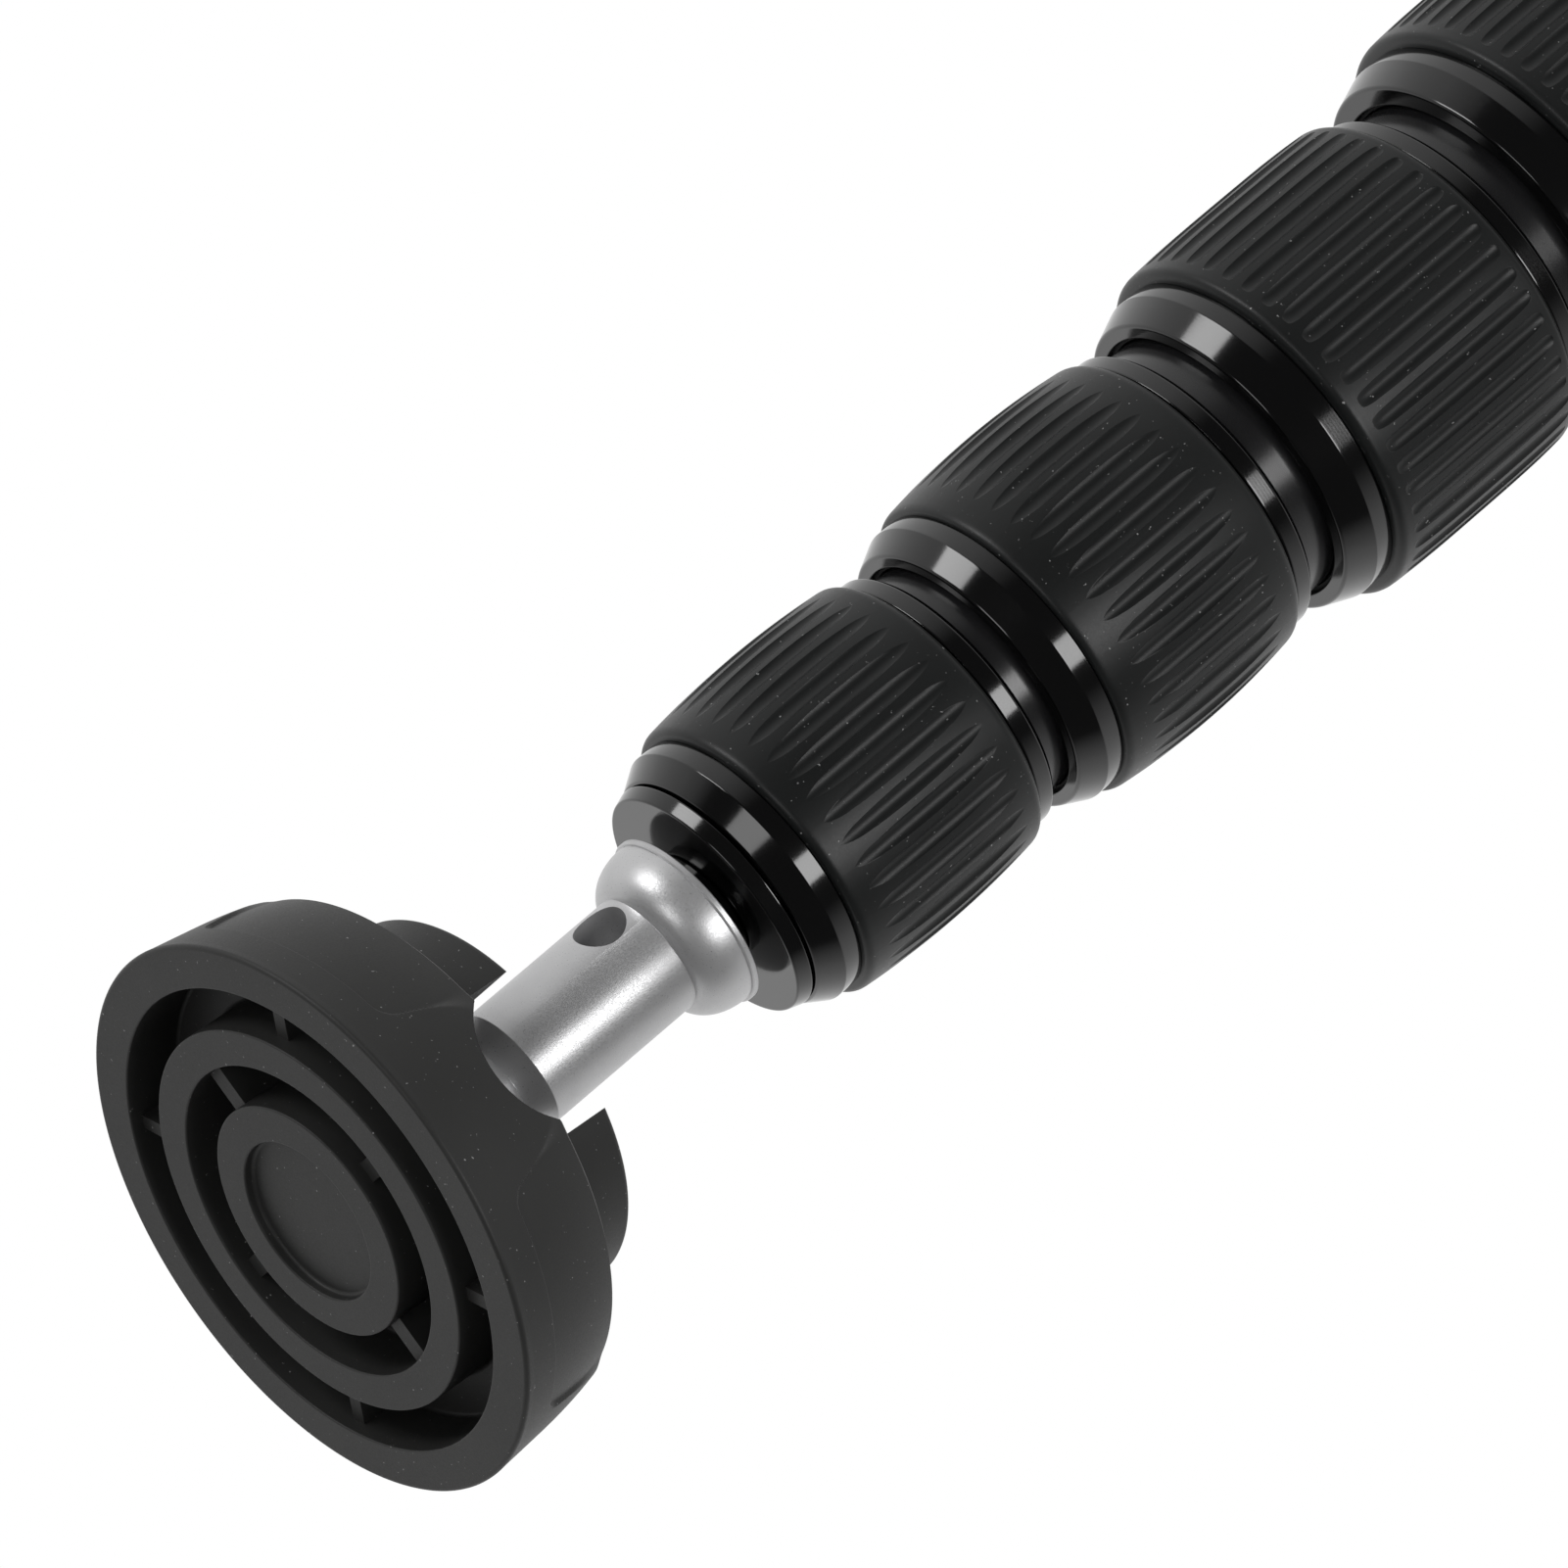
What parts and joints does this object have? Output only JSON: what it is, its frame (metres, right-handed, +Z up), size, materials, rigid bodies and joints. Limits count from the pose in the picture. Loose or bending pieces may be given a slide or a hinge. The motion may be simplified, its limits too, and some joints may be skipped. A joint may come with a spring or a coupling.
{
  "type": "camera monopod",
  "caption": "Telescoping camera monopod with twist locks in fluted rubber sleeves, a hand grip, a screw platform and a slotted rubber foot on a ball stud.",
  "frame": {"origin": "on the camera screw's axis, in the plane of the pad that the camera sits on", "axes": "+Z runs up the pole and out of the camera screw, and -Y is the side that the foot's slot faces"},
  "size_m": [0.0521, 0.0533, 0.5032],
  "materials": {
    "black_anodised": "gloss",
    "black_rubber": "matte",
    "foot_rubber": "matte",
    "grip_rubber": "matte",
    "pad_rubber": "matte",
    "guide_plastic": "matte",
    "plated_steel": "satin",
    "blasted_aluminium": "bead blasted"
  },
  "bodies": {
    "section_1": {"main_tube": "black_anodised", "head_neck": "black_anodised", "camera_platform": "black_anodised", "platform_pad": "pad_rubber", "camera_screw": "plated_steel", "grub_screws": "plated_steel", "hand_grip": "grip_rubber", "grip_ring_upper": "black_anodised", "grip_ring_lower": "black_anodised", "lock_1_ferrule": "black_anodised"},
    "section_2": {"tube_2": "black_anodised", "tube_2_guide_shims": "guide_plastic", "lock_2_ferrule": "black_anodised"},
    "section_3": {"tube_3": "black_anodised", "tube_3_guide_shims": "guide_plastic", "lock_3_ferrule": "black_anodised"},
    "section_4": {"tube_4": "black_anodised", "tube_4_guide_shims": "guide_plastic", "lock_4_ferrule": "black_anodised"},
    "section_5": {"tube_5": "black_anodised", "tube_5_guide_shims": "guide_plastic", "end_plug": "black_anodised", "stud_washer": "black_anodised"},
    "lock_1": {"lock_1_nut": "black_anodised", "lock_1_sleeve": "black_rubber", "lock_1_dust_ring": "black_rubber", "lock_1_collet": "guide_plastic"},
    "lock_2": {"lock_2_nut": "black_anodised", "lock_2_sleeve": "black_rubber", "lock_2_dust_ring": "black_rubber", "lock_2_collet": "guide_plastic"},
    "lock_3": {"lock_3_nut": "black_anodised", "lock_3_sleeve": "black_rubber", "lock_3_dust_ring": "black_rubber", "lock_3_collet": "guide_plastic"},
    "lock_4": {"lock_4_nut": "black_anodised", "lock_4_sleeve": "black_rubber", "lock_4_dust_ring": "black_rubber", "lock_4_collet": "guide_plastic"},
    "stud": {"foot_stud": "blasted_aluminium", "stud_nut": "plated_steel"},
    "foot": {"rubber_foot": "foot_rubber"}
  },
  "joints": [
    {"name": "section_2_slide", "type": "slide", "parent": "section_1", "child": "section_2", "axis": [0, 0, -1], "range_m": [0, 0.25]},
    {"name": "section_3_slide", "type": "slide", "parent": "section_2", "child": "section_3", "axis": [0, 0, -1], "range_m": [0, 0.275]},
    {"name": "section_4_slide", "type": "slide", "parent": "section_3", "child": "section_4", "axis": [0, 0, -1], "range_m": [0, 0.3]},
    {"name": "section_5_slide", "type": "slide", "parent": "section_4", "child": "section_5", "axis": [0, 0, -1], "range_m": [0, 0.325]},
    {"name": "lock_1_twist", "type": "hinge", "parent": "section_1", "child": "lock_1", "pos_m": [0, 0, -0.4], "axis": [0, 0, 1], "range_deg": [0, 120]},
    {"name": "lock_2_twist", "type": "hinge", "parent": "section_2", "child": "lock_2", "pos_m": [0, 0, -0.4], "axis": [0, 0, 1], "range_deg": [0, 120]},
    {"name": "lock_3_twist", "type": "hinge", "parent": "section_3", "child": "lock_3", "pos_m": [0, 0, -0.4], "axis": [0, 0, 1], "range_deg": [0, 120]},
    {"name": "lock_4_twist", "type": "hinge", "parent": "section_4", "child": "lock_4", "pos_m": [0, 0, -0.4], "axis": [0, 0, 1], "range_deg": [0, 120]},
    {"name": "stud_spin", "type": "hinge", "parent": "section_5", "child": "stud", "pos_m": [0, 0, -0.47785], "axis": [0, 0, 1], "continuous": true},
    {"name": "foot_swing", "type": "hinge", "parent": "stud", "child": "foot", "pos_m": [0, 0, -0.47785], "axis": [-1, 0, 0], "range_deg": [-37, 65]}
  ]
}
